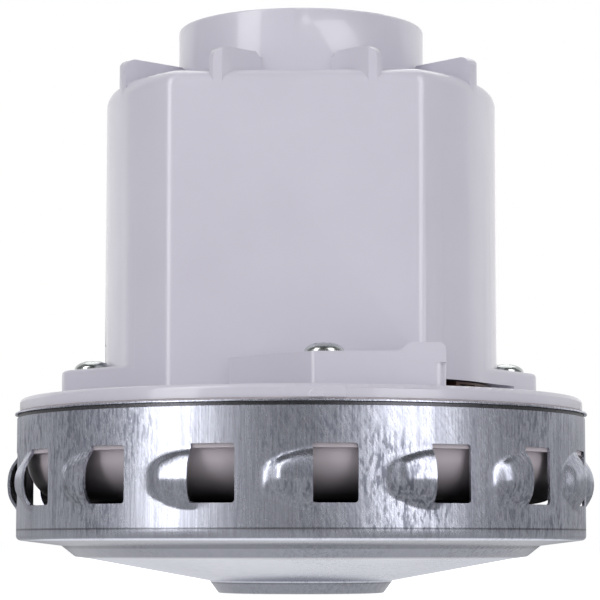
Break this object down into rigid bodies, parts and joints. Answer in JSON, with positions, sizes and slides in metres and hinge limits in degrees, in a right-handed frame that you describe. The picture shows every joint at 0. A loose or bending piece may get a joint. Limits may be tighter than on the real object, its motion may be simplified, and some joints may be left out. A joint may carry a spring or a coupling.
{
  "type": "vacuum cleaner motor unit",
  "caption": "Single-stage bypass vacuum motor: universal motor under a white flatted hood with a cooling collar, over a louvred round sheet-metal fan case with a suction impeller.",
  "frame": {"origin": "on the shaft axis, on the plane of the inlet rim under the fan case", "axes": "+Z along the shaft towards the cooling collar, -Y is the hood's flat with the boss block"},
  "size_m": [0.1352, 0.1352, 0.131],
  "materials": {
    "white_plastic": "satin moulded",
    "bracket_plastic": "satin moulded",
    "zinc_sheet": "drawn zinc-coated sheet",
    "zinc_plate": "zinc plated",
    "screw_zinc": "zinc plated",
    "lamination_steel": "stacked sheet",
    "enamelled_copper": "enamelled wire",
    "insulation_plastic": "moulded",
    "black_rubber": "matt",
    "bearing_steel": "ground",
    "cage_plastic": "moulded",
    "shaft_steel": "ground",
    "brown_phenolic": "moulded",
    "bare_copper": "turned",
    "fan_plastic": "moulded",
    "impeller_aluminium": "pressed sheet",
    "holder_brass": "pressed",
    "carbon": "pressed carbon",
    "spring_steel": "drawn wire"
  },
  "bodies": {
    "motor_frame": {"fan_case": "zinc_sheet", "fan_bracket": "bracket_plastic", "motor_hood": "white_plastic", "hood_screws": "screw_zinc", "stator_core": "lamination_steel", "field_coil_left": "enamelled_copper", "field_coil_right": "enamelled_copper", "coil_frame_left": "insulation_plastic", "coil_frame_right": "insulation_plastic", "stator_screws": "screw_zinc", "upper_bracket": "bracket_plastic", "bearing_rubber_ring": "black_rubber", "lower_bearing_outer_ring": "bearing_steel", "upper_bearing_outer_ring": "bearing_steel", "bearing_retainer": "zinc_plate", "retainer_screws": "screw_zinc", "brush_holder_left": "holder_brass", "brush_holder_right": "holder_brass", "brush_spring_left": "spring_steel", "brush_spring_right": "spring_steel", "brush_cap_left": "holder_brass", "brush_cap_right": "holder_brass", "terminal_block": "brown_phenolic", "terminal_tabs": "holder_brass"},
    "rotor": {"rotor_shaft": "shaft_steel", "armature_core": "lamination_steel", "armature_winding": "enamelled_copper", "commutator_hub": "brown_phenolic", "commutator_bars": "bare_copper", "cooling_fan": "fan_plastic", "fan_nut": "screw_zinc", "impeller_shroud": "impeller_aluminium", "impeller_vanes": "impeller_aluminium", "impeller_backplate": "impeller_aluminium", "impeller_spacer": "shaft_steel", "impeller_washer": "zinc_plate", "impeller_nut": "screw_zinc", "lower_bearing_inner_ring": "bearing_steel", "upper_bearing_inner_ring": "bearing_steel"},
    "lower_ball_set": {"lower_bearing_balls": "bearing_steel", "lower_bearing_cage": "cage_plastic"},
    "upper_ball_set": {"upper_bearing_balls": "bearing_steel", "upper_bearing_cage": "cage_plastic"},
    "brush_left": {"carbon_brush_left": "carbon"},
    "brush_right": {"carbon_brush_right": "carbon"}
  },
  "joints": [
    {"name": "rotor_spin", "type": "hinge", "parent": "motor_frame", "child": "rotor", "pos_m": [0, 0, 0.0273], "axis": [0, 0, 1], "continuous": true},
    {"name": "lower_ball_spin", "type": "hinge", "parent": "motor_frame", "child": "lower_ball_set", "pos_m": [0, 0, 0.0273], "axis": [0, 0, 1], "continuous": true},
    {"name": "upper_ball_spin", "type": "hinge", "parent": "motor_frame", "child": "upper_ball_set", "pos_m": [0, 0, 0.1079], "axis": [0, 0, 1], "continuous": true},
    {"name": "brush_left_slide", "type": "slide", "parent": "motor_frame", "child": "brush_left", "axis": [-1, 0, 0], "range_m": [0, 0.006], "stiffness_N_per_m": 150, "springref_m": -0.02, "deforming": ["brush_spring_left"]},
    {"name": "brush_right_slide", "type": "slide", "parent": "motor_frame", "child": "brush_right", "axis": [1, 0, 0], "range_m": [0, 0.006], "stiffness_N_per_m": 150, "springref_m": -0.02, "deforming": ["brush_spring_right"]}
  ],
  "couplings": [
    {"joint": "lower_ball_spin", "follows": "rotor_spin", "ratio": 0.368},
    {"joint": "upper_ball_spin", "follows": "rotor_spin", "ratio": 0.368}
  ]
}
